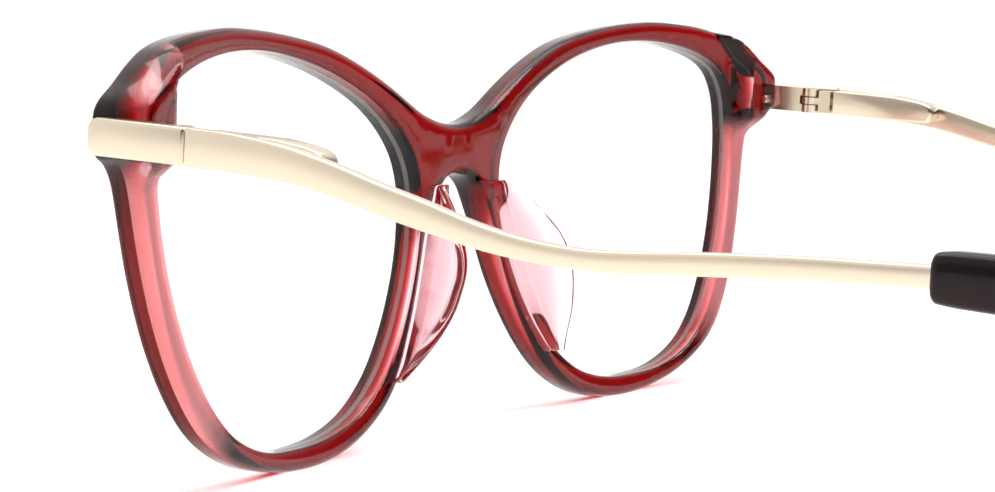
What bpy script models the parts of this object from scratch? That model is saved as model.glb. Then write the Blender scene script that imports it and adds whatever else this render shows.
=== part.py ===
"""Eyeglasses: laminated acetate front with gold spring-hinge temples.

Units are metres. +Z is up, the front faces -Y, and the wearer's left is +X.
The glasses stand as they do on a table: on both rims and on the ends of the temples.
"""
import math

import bmesh
import bpy
from mathutils import Matrix, Vector

MM = 0.001
GAP = 0.3                     # clearance kept between neighbouring solids

# Placing: the face-form origin sits at the middle of the front surface
FLOOR = -5.45                 # height of the table below the face-form origin
MID_DEPTH = 70.865            # half way between the front and the ends of the temples

# Face form: how the flat sheet is bent
WRAP_RADIUS = 428.0           # horizontal bend of the whole front
RISE_RADIUS = 175.0           # vertical bend of the rims
RISE_CENTRE = 18.5
LENS_BOW = 0.86               # extra bow of each rim about its own lens
LENS_BOW_PERIOD = 70.0
TILT = math.radians(3.46)     # top of the front leans forward
SLICE = 9.0                   # spacing of the cuts that let a flat sheet bend

# Laminate
FRONT_SHEET = 1.85
BACK_SHEET_START = FRONT_SHEET + GAP
BACK_SHEET_END = 3.8
BLOCK_END = 6.6               # rear of the end blocks, measured like the sheets
BLOCK_INNER = 62.4

# Half outlines on the flat sheet: distance from the middle, height.
# From the middle of the bridge's top edge round to the end block's lower corner
TOP_EDGE = [
    (0.0, 31.1), (3.0, 31.4), (5.5, 32.1), (8.0, 33.1), (13.4, 36.0), (19.1, 38.6),
    (24.9, 40.6), (31.0, 41.8), (38.0, 42.6), (45.0, 42.9), (51.0, 42.5), (55.5, 41.9),
    (59.5, 40.9), (62.6, 39.3), (65.2, 37.5), (67.6, 36.0), (68.6, 34.8), (68.8, 33.0),
    (68.8, 31.3), (68.3, 30.2),
]
# From below the end block round the rim to the middle of the bridge's lower edge
LOWER_EDGE = [
    (66.8, 29.3), (65.6, 27.7), (64.9, 25.5), (64.2, 22.2), (63.3, 18.0), (62.1, 13.6),
    (60.5, 9.2), (58.3, 4.9), (55.4, 1.1), (51.6, -1.7), (46.5, -3.9), (41.0, -5.2),
    (36.0, -5.75), (31.0, -5.6), (26.0, -4.6), (21.5, -2.8), (17.6, -0.3), (14.2, 3.2),
    (11.3, 7.4), (9.1, 11.5), (7.7, 14.8), (6.5, 18.0), (5.2, 20.8), (3.8, 23.4),
    (2.0, 24.8), (0.0, 25.2),
]
LENS_OPENING = [
    (8.7, 22.5), (9.2, 26.2), (11.0, 29.4), (14.5, 32.7), (19.1, 35.4), (25.8, 38.0),
    (33.0, 39.7), (40.0, 40.4), (47.0, 40.1), (53.5, 38.8), (58.6, 36.6), (61.0, 33.2),
    (61.7, 28.5), (61.4, 23.5), (60.4, 18.0), (58.9, 13.0), (56.6, 7.8), (53.4, 3.0),
    (49.2, -0.5), (43.2, -2.7), (36.5, -3.2), (30.0, -2.8), (23.8, -1.0), (18.5, 2.5),
    (14.5, 7.0), (11.4, 12.2), (9.5, 17.2),
]
OPENING_CENTRE = (35.2, 18.6)
OPENING_HALF = (26.5, 21.8)

# Lens: its rim lies in a groove cut half in the front sheet and half in the back sheet
GROOVE_GROW = 1.0
GROOVE_START = 1.45
GROOVE_END = 3.05
LENS_GROW = GROOVE_GROW - GAP
LENS_FRONT = GROOVE_START + GAP
LENS_BACK = GROOVE_END - GAP

# Nose pads: ridge of the pad, from its top to its foot
PAD_RIDGE = [
    (7.5, 5.8, 24.0), (8.2, 7.3, 22.2), (9.2, 9.0, 20.0), (10.2, 10.3, 18.0),
    (10.9, 11.1, 16.0), (11.6, 11.4, 14.0), (12.3, 11.2, 12.0), (13.0, 10.8, 10.0),
    (13.9, 10.1, 8.0), (14.9, 9.1, 6.0), (16.1, 7.9, 4.0), (17.6, 6.7, 2.0),
]
PAD_ROOT_WIDTH = 2.5
PAD_RIDGE_RADIUS = 0.55

# Hinge: the local frame has y back along the temple, z along the hinge axis, x outward
HINGE = (67.6, 16.0, 32.22)
TEMPLE_SLOPE = math.radians(-4.0)
OUTER_FACE = 3.4
ARM_INNER_FACE = 1.9
PLATE_INNER_FACE = 1.7
PLATE_FRONT = -9.2
PLATE_REAR = 3.0
PLATE_HALF_HEIGHT = 1.87
ARM_START = PLATE_REAR + GAP

KNUCKLE_RADIUS = 1.25
KNUCKLE_BORE = 0.65
KNUCKLE_SPLIT = 0.6           # half height of the space for the middle knuckle
HINGE_HALF_HEIGHT = 1.65
MIDDLE_KNUCKLE = KNUCKLE_SPLIT - 0.15
LEAF_INNER = -0.6
LEAF_OUTER = PLATE_INNER_FACE - GAP
LEAF_FRONT = -8.6
LEAF_REAR = -0.7

SCREW_SHANK = 0.5
SCREW_HEAD = 0.8
SCREW_HEAD_START = 1.2
COUNTERBORE = 0.95

SHAFT_X = 0.3
SHAFT_RADIUS = 0.4
SHAFT_END = 13.2
CARRIAGE_FRONT = 1.55
CARRIAGE_REAR = 3.3
BOX_FRONT = 3.6
BOX_REAR = 18.4
BOX_BORE = 0.95
BOX_BORE_START = 4.3
BOX_BORE_END = 14.4
STOP_START = 12.3
STOP_RADIUS = 0.78
SPRING_START = 4.5
SPRING_END = 11.4
SPRING_RADIUS = 0.68
SPRING_WIRE = 0.11
SPRING_TURNS = 9

BLOCK_SCREW = (-7.0, -0.3)    # along and above the hinge frame's origin
BLOCK_SCREW_END = -2.4
BLOCK_SCREW_SHANK = 0.55
BLOCK_SCREW_HEAD = 0.85
BLOCK_SCREW_HEAD_START = 0.75

# Temple, side view: distance behind the face-form origin, height, height of the bar
TEMPLE_STATIONS = [
    (24.6, 31.53, 3.7), (30.3, 30.72, 3.4), (35.8, 29.45, 3.05), (41.2, 27.8, 2.9),
    (46.5, 26.3, 2.75), (51.7, 24.85, 2.35), (56.7, 23.82, 2.05), (61.7, 23.2, 1.92),
    (66.5, 23.0, 1.95), (75.9, 23.2, 2.05), (85.0, 23.28, 2.0), (91.0, 23.2, 1.95),
]
TIP_START = 96.0
CORE_START = TIP_START - GAP
CORE_HEIGHT = 1.3
CORE_STATIONS = [
    (103.0, 22.7), (110.0, 21.9), (116.0, 20.1), (121.0, 17.2), (126.0, 13.1),
    (131.0, 8.3),
]
# Tip, side view: distance, height, height of the section
TIP_STATIONS = [
    (96.8, 23.05, 4.3), (98.5, 22.95, 4.6), (103.0, 22.6, 4.8), (110.0, 21.8, 5.0),
    (116.0, 20.0, 5.3), (121.0, 17.1, 5.6), (126.0, 13.0, 5.9), (131.0, 8.2, 6.1),
    (135.5, 3.4, 6.1), (138.5, -0.5, 5.6),
]
TIP_ROUNDING = [((140.1, -2.6, 4.8), 0.3), ((141.3, -4.2, 3.6), 0.6), ((141.9, -5.0, 2.2), 0.95)]
TIP_INNER_FACE = 1.15
TIP_OUTER_FACE = 4.15
TIP_CORNER = 0.8
CORE_INSET = 0.1


# Small helpers ---------------------------------------------------------------

def material(name, colour, roughness, metallic=0.0, transmission=0.0, alpha=1.0):
    mat = bpy.data.materials.new(name)
    mat.use_nodes = True
    shader = mat.node_tree.nodes["Principled BSDF"]
    shader.inputs["Base Color"].default_value = (*colour, 1.0)
    shader.inputs["Roughness"].default_value = roughness
    shader.inputs["Metallic"].default_value = metallic
    shader.inputs["Transmission Weight"].default_value = transmission
    shader.inputs["Alpha"].default_value = alpha
    return mat


def mesh_object(name, bm, collection, mat=None, parent=None):
    """Turn a bmesh in millimetres into an object in metres."""
    bmesh.ops.remove_doubles(bm, verts=bm.verts, dist=0.002)
    bmesh.ops.recalc_face_normals(bm, faces=bm.faces)
    bmesh.ops.scale(bm, verts=bm.verts, vec=(MM, MM, MM))
    mesh = bpy.data.meshes.new(name)
    bm.to_mesh(mesh)
    bm.free()
    obj = bpy.data.objects.new(name, mesh)
    collection.objects.link(obj)
    if mat:
        obj.data.materials.append(mat)
    if parent:
        obj.parent = parent
    return obj


def plate_from_outlines(outlines, low, high, smooth=True, resolution=2):
    """Flat sheet with holes: 2D closed curves, filled and extruded, as a bmesh."""
    curve = bpy.data.curves.new("outline", "CURVE")
    curve.dimensions = "2D"
    curve.fill_mode = "BOTH"
    curve.extrude = (high - low) / 2
    curve.resolution_u = resolution
    for points in outlines:
        if smooth:
            spline = curve.splines.new("BEZIER")
            spline.bezier_points.add(len(points) - 1)
            for knot, (x, y) in zip(spline.bezier_points, points):
                knot.co = (x, y, 0.0)
                knot.handle_left_type = "AUTO"
                knot.handle_right_type = "AUTO"
        else:
            spline = curve.splines.new("POLY")
            spline.points.add(len(points) - 1)
            for knot, (x, y) in zip(spline.points, points):
                knot.co = (x, y, 0.0, 1.0)
        spline.use_cyclic_u = True
    holder = bpy.data.objects.new("outline", curve)
    bpy.context.scene.collection.objects.link(holder)
    bpy.context.view_layer.update()
    evaluated = holder.evaluated_get(bpy.context.evaluated_depsgraph_get())
    mesh = bpy.data.meshes.new_from_object(evaluated)
    bm = bmesh.new()
    bm.from_mesh(mesh)
    bmesh.ops.remove_doubles(bm, verts=bm.verts, dist=0.001)
    bmesh.ops.translate(bm, verts=bm.verts, vec=(0.0, 0.0, (low + high) / 2))
    bpy.data.objects.remove(holder)
    bpy.data.curves.remove(curve)
    bpy.data.meshes.remove(mesh)
    return bm


def slice_mesh(bm, axis, start, stop, step):
    """Cut every face at even distances, so that the sheet can bend."""
    normal = Vector((0.0, 0.0, 0.0))
    normal[axis] = 1.0
    place = start
    while place < stop:
        geometry = bm.verts[:] + bm.edges[:] + bm.faces[:]
        bmesh.ops.bisect_plane(bm, geom=geometry, dist=0.0001, plane_co=normal * place, plane_no=normal)
        place += step


def add_box(bm, low, high):
    size = [b - a for a, b in zip(low, high)]
    centre = [(a + b) / 2 for a, b in zip(low, high)]
    matrix = Matrix.Translation(centre) @ Matrix.Diagonal((*size, 1.0))
    bmesh.ops.create_cube(bm, size=1.0, matrix=matrix)


def add_cylinder(bm, radius, low, high, axis="Z", centre=(0.0, 0.0), segments=24):
    """Cylinder along an axis; centre holds its place on the two other axes in XYZ order."""
    turn = {"X": Matrix.Rotation(math.pi / 2, 4, "Y"), "Y": Matrix.Rotation(math.pi / 2, 4, "X"),
            "Z": Matrix.Identity(4)}[axis]
    middle = (low + high) / 2
    place = {"X": (middle, *centre), "Y": (centre[0], middle, centre[1]), "Z": (*centre, middle)}[axis]
    matrix = Matrix.Translation(place) @ turn
    bmesh.ops.create_cone(bm, cap_ends=True, segments=segments, radius1=radius, radius2=radius,
                          depth=high - low, matrix=matrix)


def boolean(target, cutter_bm, operation, name):
    """Apply one exact boolean with a cutter given as a bmesh in the target's own space."""
    cutter = mesh_object(name, cutter_bm, CUTTERS)
    cutter.hide_render = True
    cutter.display_type = "WIRE"
    cutter.parent = target.parent
    modifier = target.modifiers.new(name, "BOOLEAN")
    modifier.object = cutter
    modifier.operation = operation
    modifier.solver = "EXACT"
    return cutter


def bake(obj):
    """Replace an object's mesh by the result of its modifiers."""
    bpy.context.view_layer.update()
    evaluated = obj.evaluated_get(bpy.context.evaluated_depsgraph_get())
    mesh = bpy.data.meshes.new_from_object(evaluated)
    obj.modifiers.clear()
    old = obj.data
    obj.data = mesh
    mesh.name = obj.name
    bpy.data.meshes.remove(old)


def round_edges(obj, width, segments=2, angle=40.0):
    modifier = obj.modifiers.new("rounding", "BEVEL")
    modifier.width = width * MM
    modifier.segments = segments
    modifier.limit_method = "ANGLE"
    modifier.angle_limit = math.radians(angle)
    modifier.use_clamp_overlap = True


def shade(obj):
    obj.data.shade_smooth()
    obj.data.set_sharp_from_angle(angle=math.radians(35.0))


def tangents(stations):
    result = []
    for index in range(len(stations)):
        before = stations[max(index - 1, 0)]
        after = stations[min(index + 1, len(stations) - 1)]
        run = Vector((after[0] - before[0], after[1] - before[1])).normalized()
        result.append((run.x, run.y))
    return result


def refined(stations, steps=3):
    """Smooth path through the stations: Catmull-Rom, the same number of steps in each span."""
    fine = []
    padded = [stations[0]] + list(stations) + [stations[-1]]
    for index in range(1, len(padded) - 2):
        p0, p1, p2, p3 = padded[index - 1:index + 3]
        for step in range(steps):
            t = step / steps
            fine.append(tuple(
                0.5 * (2 * b + (c - a) * t + (2 * a - 5 * b + 4 * c - d) * t ** 2
                       + (3 * b - a - 3 * c + d) * t ** 3)
                for a, b, c, d in zip(p0, p1, p2, p3)))
    fine.append(tuple(stations[-1]))
    return fine


# Face form -------------------------------------------------------------------

def face_point(along, height, depth):
    """Place a point of the flat sheet on the bent, tilted front, in millimetres."""
    bow = (height - RISE_CENTRE) ** 2 / (2 * RISE_RADIUS)
    bow += LENS_BOW * math.cos(2 * math.pi * along / LENS_BOW_PERIOD)
    radius = WRAP_RADIUS - depth - bow
    angle = along / WRAP_RADIUS
    back = WRAP_RADIUS - radius * math.cos(angle)
    return Vector((
        radius * math.sin(angle),
        math.cos(TILT) * back - math.sin(TILT) * height,
        math.sin(TILT) * back + math.cos(TILT) * height,
    ))


def bend(bm):
    for vert in bm.verts:
        vert.co = face_point(*vert.co)


def half_outline(edges):
    points = []
    for edge in edges:
        points += edge
    return points


def full_outline():
    """The right half is the outline itself, the left half its mirror image."""
    half = half_outline((TOP_EDGE, LOWER_EDGE))
    mirrored = [(-x, y) for x, y in reversed(half[1:-1])]
    return half + mirrored


def opening(side, grow=0.0):
    cx, cy = OPENING_CENTRE
    sx = 1.0 + grow / OPENING_HALF[0]
    sy = 1.0 + grow / OPENING_HALF[1]
    return [(side * (cx + (x - cx) * sx), cy + (y - cy) * sy) for x, y in LENS_OPENING]


def bent_sheet(outlines, low, high):
    bm = plate_from_outlines(outlines, low, high)
    slice_mesh(bm, 0, -63.0, 64.0, SLICE)
    slice_mesh(bm, 1, -2.0, 41.0, 2 * SLICE)
    bmesh.ops.triangulate(bm, faces=bm.faces)
    bend(bm)
    return bm


def floor_cutter():
    bm = bmesh.new()
    add_box(bm, (-90.0, -20.0, FLOOR - 8.0), (90.0, 160.0, FLOOR))
    return bm


# Front pieces ----------------------------------------------------------------

def make_front_layer(parent):
    bm = bent_sheet([full_outline(), opening(1), opening(-1)], 0.0, FRONT_SHEET)
    layer = mesh_object("front_layer", bm, GLASSES, BURGUNDY, parent)
    for side, name in ((1, "left"), (-1, "right")):
        groove = bent_sheet([opening(side, GROOVE_GROW)], GROOVE_START, BACK_SHEET_START)
        boolean(layer, groove, "DIFFERENCE", name + "_front_groove")
    boolean(layer, floor_cutter(), "DIFFERENCE", "table_front")
    bake(layer)
    shade(layer)
    return layer


def block_outline():
    """Outer corner of the sheet, as deep as the block that carries the metal."""
    return [
        (BLOCK_INNER, 39.0), (65.2, 37.2), (67.5, 35.8), (68.5, 34.7), (68.7, 33.0),
        (68.7, 31.2), (68.2, 30.3), (66.7, 29.5), (65.6, 28.0), (64.9, 26.5),
        (BLOCK_INNER + 1.2, 26.5), (BLOCK_INNER, 29.5),
    ]


def make_back_layer(parent):
    bm = bent_sheet([full_outline(), opening(1), opening(-1)], BACK_SHEET_START, BACK_SHEET_END)
    layer = mesh_object("back_layer", bm, GLASSES, PINK, parent)
    for side, name in ((1, "left"), (-1, "right")):
        block = plate_from_outlines([[(side * x, y) for x, y in block_outline()]],
                                    BACK_SHEET_END - 1.0, BLOCK_END, smooth=False)
        bend(block)
        boolean(layer, block, "UNION", name + "_block")
        groove = bent_sheet([opening(side, GROOVE_GROW)], BACK_SHEET_START - 0.5, GROOVE_END)
        boolean(layer, groove, "DIFFERENCE", name + "_back_groove")
        pocket = bmesh.new()
        add_box(pocket, (LEAF_INNER - GAP, LEAF_FRONT - GAP, -HINGE_HALF_HEIGHT - GAP),
                (LEAF_OUTER + 3.0, 6.0, HINGE_HALF_HEIGHT + GAP))
        place_in_hinge_frame(pocket, side)
        boolean(layer, pocket, "DIFFERENCE", name + "_pocket")
        plate_seat = bmesh.new()
        add_box(plate_seat, (PLATE_INNER_FACE - GAP, PLATE_FRONT - GAP, -PLATE_HALF_HEIGHT - GAP),
                (OUTER_FACE + 2.0, 8.0, PLATE_HALF_HEIGHT + GAP))
        place_in_hinge_frame(plate_seat, side)
        boolean(layer, plate_seat, "DIFFERENCE", name + "_plate_seat")
        hole = bmesh.new()
        add_cylinder(hole, BLOCK_SCREW_SHANK + 0.2, BLOCK_SCREW_END - GAP, 1.0, "X", BLOCK_SCREW)
        place_in_hinge_frame(hole, side)
        boolean(layer, hole, "DIFFERENCE", name + "_screw_hole")
    boolean(layer, floor_cutter(), "DIFFERENCE", "table_back")
    bake(layer)
    shade(layer)
    return layer


def make_lens(name, side, parent):
    bm = bent_sheet([opening(side, LENS_GROW)], LENS_FRONT, LENS_BACK)
    lens = mesh_object(name, bm, GLASSES, LENS, parent)
    shade(lens)
    return lens


def edge_at_height(outline, height):
    """Distance from the middle where a falling outline passes a height."""
    for (x0, y0), (x1, y1) in zip(outline, outline[1:]):
        if y0 >= height >= y1:
            return x0 + (x1 - x0) * (y0 - height) / (y0 - y1)
    return outline[-1][0]


def pad_section(ridge):
    """One slice across the pad: root on the nasal rim, tip on the ridge."""
    x, y, z = ridge
    nasal_edge = [point for point in reversed(LOWER_EDGE) if point[0] < 36.0]
    outer = edge_at_height(nasal_edge, z) + 0.35
    root_depth = BACK_SHEET_END + GAP
    nasal_root = face_point(outer, z, root_depth)
    lens_root = face_point(outer + PAD_ROOT_WIDTH, z, root_depth)
    tip = Vector((x, y, nasal_root.z))
    nose_side = tip + Vector((-PAD_RIDGE_RADIUS, -0.5 * PAD_RIDGE_RADIUS, 0.0))
    lens_side = tip + Vector((0.6 * PAD_RIDGE_RADIUS, -PAD_RIDGE_RADIUS, 0.0))
    swell = Vector((-0.35, 0.25, 0.0))
    nasal_middle = (nasal_root + nose_side) / 2 + swell
    lens_middle = (lens_root + lens_side) / 2 + Vector((-0.25, 0.0, 0.0))
    return [nasal_root, nasal_middle, nose_side, tip, lens_side, lens_middle, lens_root]


def make_nose_pad(name, side, parent):
    """Loft through the sections, closed at the top and at the foot."""
    bm = bmesh.new()
    loops = []
    for ridge in refined(PAD_RIDGE, 2):
        ring = [bm.verts.new((side * p.x, p.y, p.z)) for p in pad_section(ridge)]
        edges = [bm.edges.new((a, b)) for a, b in zip(ring, ring[1:] + ring[:1])]
        loops.append(edges)
    for lower, upper in zip(loops, loops[1:]):
        bmesh.ops.bridge_loops(bm, edges=lower + upper)
    bmesh.ops.holes_fill(bm, edges=loops[0] + loops[-1], sides=0)
    bmesh.ops.triangulate(bm, faces=bm.faces)
    pad = mesh_object(name, bm, GLASSES, CLEAR_PINK, parent)
    shade(pad)
    return pad


# Side pieces, made in the hinge frame of the left side ------------------------

def hinge_matrix():
    return Matrix.Translation(HINGE) @ Matrix.Rotation(TEMPLE_SLOPE, 4, "X")


def place_in_hinge_frame(bm, side):
    bmesh.ops.transform(bm, matrix=hinge_matrix(), verts=bm.verts)
    bmesh.ops.scale(bm, verts=bm.verts, vec=(side, 1.0, 1.0))


def mirrored(bm, side):
    """The right side's pieces are mirror images of the left side's."""
    bmesh.ops.scale(bm, verts=bm.verts, vec=(side, 1.0, 1.0))
    return bm


def to_hinge_frame(depth, height):
    """Side-view place in face-form millimetres, as y and z of the hinge frame."""
    point = hinge_matrix().inverted() @ Vector((HINGE[0], depth, height))
    return point.y, point.z


def side_plate(outline, low, high, side, smooth=False):
    """Flat piece whose outline is a side view (y, z), with its thickness along x."""
    bm = plate_from_outlines([outline], low, high, smooth=smooth)
    upright = Matrix(((0, 0, 1, 0), (1, 0, 0, 0), (0, 1, 0, 0), (0, 0, 0, 1)))
    bmesh.ops.transform(bm, matrix=upright, verts=bm.verts)
    return mirrored(bm, side)


def rounded_rectangle(low, high, radius, steps=4, corners=(True, True, True, True)):
    """Corner order: rear top, front top, front bottom, rear bottom."""
    (y0, z0), (y1, z1) = low, high
    centres = [(y1, z1, 0), (y0, z1, 90), (y0, z0, 180), (y1, z0, 270)]
    signs = [(-1, -1), (1, -1), (1, 1), (-1, 1)]
    points = []
    for (y, z, start), (sy, sz), rounded in zip(centres, signs, corners):
        if not rounded:
            points.append((y, z))
            continue
        for step in range(steps + 1):
            angle = math.radians(start + 90 * step / steps)
            points.append((y + sy * radius + radius * math.cos(angle),
                           z + sz * radius + radius * math.sin(angle)))
    return points


def make_endpiece_plate(name, side, parent):
    outline = rounded_rectangle((PLATE_FRONT, -PLATE_HALF_HEIGHT), (PLATE_REAR, PLATE_HALF_HEIGHT),
                                1.1, corners=(False, True, True, False))
    bm = side_plate(outline, PLATE_INNER_FACE, OUTER_FACE, side)
    plate = mesh_object(name, bm, GLASSES, GOLD, parent)
    round_edges(plate, 0.3)
    bake(plate)
    shade(plate)
    return plate


def make_front_hinge(name, side, parent):
    leaf = bmesh.new()
    add_box(leaf, (LEAF_INNER, LEAF_FRONT, -HINGE_HALF_HEIGHT), (LEAF_OUTER, LEAF_REAR, HINGE_HALF_HEIGHT))
    hinge = mesh_object(name, mirrored(leaf, side), GLASSES, GOLD, parent)
    knuckles = bmesh.new()
    add_cylinder(knuckles, KNUCKLE_RADIUS, -HINGE_HALF_HEIGHT, HINGE_HALF_HEIGHT)
    boolean(hinge, mirrored(knuckles, side), "UNION", name + "_knuckles")
    gap = bmesh.new()
    add_cylinder(gap, CARRIAGE_FRONT, -KNUCKLE_SPLIT, KNUCKLE_SPLIT)
    boolean(hinge, mirrored(gap, side), "DIFFERENCE", name + "_gap")
    bore = bmesh.new()
    add_cylinder(bore, KNUCKLE_BORE, -3.0, 3.0)
    boolean(hinge, mirrored(bore, side), "DIFFERENCE", name + "_bore")
    counterbore = bmesh.new()
    add_cylinder(counterbore, COUNTERBORE, SCREW_HEAD_START - 0.1, 3.0)
    boolean(hinge, mirrored(counterbore, side), "DIFFERENCE", name + "_counterbore")
    screw_hole = bmesh.new()
    add_cylinder(screw_hole, BLOCK_SCREW_SHANK + 0.15, -3.0, 3.0, "X", BLOCK_SCREW)
    boolean(hinge, mirrored(screw_hole, side), "DIFFERENCE", name + "_screw_hole")
    head_seat = bmesh.new()
    add_cylinder(head_seat, BLOCK_SCREW_HEAD + 0.2, BLOCK_SCREW_HEAD_START - 0.15, 3.0, "X", BLOCK_SCREW)
    boolean(hinge, mirrored(head_seat, side), "DIFFERENCE", name + "_head_seat")
    bake(hinge)
    shade(hinge)
    return hinge


def make_endpiece_screw(name, side, parent):
    shank = bmesh.new()
    add_cylinder(shank, BLOCK_SCREW_SHANK, BLOCK_SCREW_END, BLOCK_SCREW_HEAD_START + 0.1, "X", BLOCK_SCREW, 20)
    screw = mesh_object(name, mirrored(shank, side), GLASSES, STEEL, parent)
    head = bmesh.new()
    add_cylinder(head, BLOCK_SCREW_HEAD, BLOCK_SCREW_HEAD_START, LEAF_OUTER - 0.15, "X", BLOCK_SCREW, 20)
    boolean(screw, mirrored(head, side), "UNION", name + "_head")
    bake(screw)
    shade(screw)
    return screw


def make_hinge_screw(name, side, parent):
    shank = bmesh.new()
    add_cylinder(shank, SCREW_SHANK, -HINGE_HALF_HEIGHT + 0.05, SCREW_HEAD_START + 0.1, segments=20)
    screw = mesh_object(name, mirrored(shank, side), GLASSES, STEEL, parent)
    head = bmesh.new()
    add_cylinder(head, SCREW_HEAD, SCREW_HEAD_START, HINGE_HALF_HEIGHT, segments=20)
    boolean(screw, mirrored(head, side), "UNION", name + "_head")
    slot = bmesh.new()
    add_box(slot, (-2.0, -0.12, HINGE_HALF_HEIGHT - 0.2), (2.0, 0.12, HINGE_HALF_HEIGHT + 1.0))
    boolean(screw, mirrored(slot, side), "DIFFERENCE", name + "_slot")
    bake(screw)
    shade(screw)
    return screw


def make_hinge_slider(name, side, parent):
    carriage = bmesh.new()
    add_box(carriage, (-0.85, CARRIAGE_FRONT, -1.45), (0.8, CARRIAGE_REAR, 1.45))
    slider = mesh_object(name, mirrored(carriage, side), GLASSES, GOLD, parent)
    web = bmesh.new()
    add_box(web, (-0.85, 0.0, -MIDDLE_KNUCKLE), (0.8, CARRIAGE_FRONT + 0.5, MIDDLE_KNUCKLE))
    boolean(slider, mirrored(web, side), "UNION", name + "_web")
    knuckle = bmesh.new()
    add_cylinder(knuckle, KNUCKLE_RADIUS, -MIDDLE_KNUCKLE, MIDDLE_KNUCKLE)
    boolean(slider, mirrored(knuckle, side), "UNION", name + "_knuckle")
    bore = bmesh.new()
    add_cylinder(bore, KNUCKLE_BORE, -2.0, 2.0)
    boolean(slider, mirrored(bore, side), "DIFFERENCE", name + "_bore")
    shaft = bmesh.new()
    add_cylinder(shaft, SHAFT_RADIUS, CARRIAGE_REAR - 0.5, SHAFT_END, "Y", (SHAFT_X, 0.0), 16)
    boolean(slider, mirrored(shaft, side), "UNION", name + "_shaft")
    bake(slider)
    shade(slider)
    return slider


def make_spring_stop(name, side, parent):
    collar = bmesh.new()
    add_cylinder(collar, STOP_RADIUS, STOP_START, STOP_START + 0.8, "Y", (SHAFT_X, 0.0), 20)
    stop = mesh_object(name, mirrored(collar, side), GLASSES, STEEL, parent)
    hole = bmesh.new()
    add_cylinder(hole, SHAFT_RADIUS + 0.1, STOP_START - 1.0, STOP_START + 2.0, "Y", (SHAFT_X, 0.0), 20)
    boolean(stop, mirrored(hole, side), "DIFFERENCE", name + "_hole")
    bake(stop)
    shade(stop)
    return stop


def make_hinge_spring(name, side, parent):
    """Coil round the shaft: a poly curve with a round bevel."""
    curve = bpy.data.curves.new(name, "CURVE")
    curve.dimensions = "3D"
    curve.bevel_depth = SPRING_WIRE
    curve.bevel_resolution = 1
    curve.use_fill_caps = True
    spline = curve.splines.new("POLY")
    steps = SPRING_TURNS * 10
    spline.points.add(steps)
    for step, knot in enumerate(spline.points):
        angle = 2 * math.pi * step / 10
        along = SPRING_START + (SPRING_END - SPRING_START) * step / steps
        knot.co = (SHAFT_X + SPRING_RADIUS * math.cos(angle), along, SPRING_RADIUS * math.sin(angle), 1.0)
    holder = bpy.data.objects.new(name + "_path", curve)
    bpy.context.scene.collection.objects.link(holder)
    bpy.context.view_layer.update()
    mesh = bpy.data.meshes.new_from_object(holder.evaluated_get(bpy.context.evaluated_depsgraph_get()))
    bm = bmesh.new()
    bm.from_mesh(mesh)
    bpy.data.objects.remove(holder)
    bpy.data.curves.remove(curve)
    bpy.data.meshes.remove(mesh)
    spring = mesh_object(name, mirrored(bm, side), GLASSES, STEEL, parent)
    shade(spring)
    return spring


def make_spring_box(name, side, parent):
    """Housing on the arm's inner face; its rear end follows the arm down and is rounded off."""
    outline = [
        (BOX_FRONT, -1.6), (BOX_FRONT, 1.6), (BOX_FRONT + 9.0, 1.5), (BOX_REAR - 1.2, 0.95),
        (BOX_REAR - 0.3, 0.6), (BOX_REAR, -0.2), (BOX_REAR - 0.5, -1.6), (BOX_FRONT + 9.0, -1.65),
    ]
    bm = side_plate(outline, -0.9, ARM_INNER_FACE - GAP, side)
    box = mesh_object(name, bm, GLASSES, GOLD, parent)
    round_edges(box, 0.22)
    bore = bmesh.new()
    add_cylinder(bore, BOX_BORE, BOX_BORE_START, BOX_BORE_END, "Y", (SHAFT_X, 0.0))
    boolean(box, mirrored(bore, side), "DIFFERENCE", name + "_bore")
    throat = bmesh.new()
    add_cylinder(throat, SHAFT_RADIUS + 0.15, BOX_FRONT - 1.0, BOX_BORE_START + 0.5, "Y", (SHAFT_X, 0.0))
    boolean(box, mirrored(throat, side), "DIFFERENCE", name + "_throat")
    bake(box)
    shade(box)
    return box


def bar_ring(bm, station, run, inner, outer, corner):
    """One rounded rectangular section of a bar, square to its side-view path."""
    y, z, height = station
    ty, tz = run
    ring = []
    outline = rounded_rectangle((inner, -height / 2), (outer, height / 2), corner, steps=2)
    for across, up in outline:
        ring.append(bm.verts.new((across, y - tz * up, z + ty * up)))
    return [bm.edges.new((one, two)) for one, two in zip(ring, ring[1:] + ring[:1])]


def loft_bar(sections, side):
    """Bar through sections of (station, inner face, outer face, corner), closed at both ends."""
    bm = bmesh.new()
    runs = tangents([section[0] for section in sections])
    loops = [bar_ring(bm, section[0], run, *section[1:]) for section, run in zip(sections, runs)]
    for lower, upper in zip(loops, loops[1:]):
        bmesh.ops.bridge_loops(bm, edges=lower + upper)
    bmesh.ops.holes_fill(bm, edges=loops[0] + loops[-1], sides=0)
    bmesh.ops.triangulate(bm, faces=bm.faces)
    return mirrored(bm, side)


def core_stations(extra_height=0.0, extra_length=0.0):
    """Wire inside the tip: the end of the arm, drawn out thin."""
    path = [(*to_hinge_frame(CORE_START + 0.1, 23.13), CORE_HEIGHT + extra_height)]
    path += [(*to_hinge_frame(y, z), CORE_HEIGHT + extra_height) for y, z in CORE_STATIONS]
    path = refined(path)
    (y0, z0, height), (y1, z1, height) = path[-2:]
    stretch = extra_length / math.hypot(y1 - y0, z1 - z0)
    path[-1] = (y1 + (y1 - y0) * stretch, z1 + (z1 - z0) * stretch, height)
    return path


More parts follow.
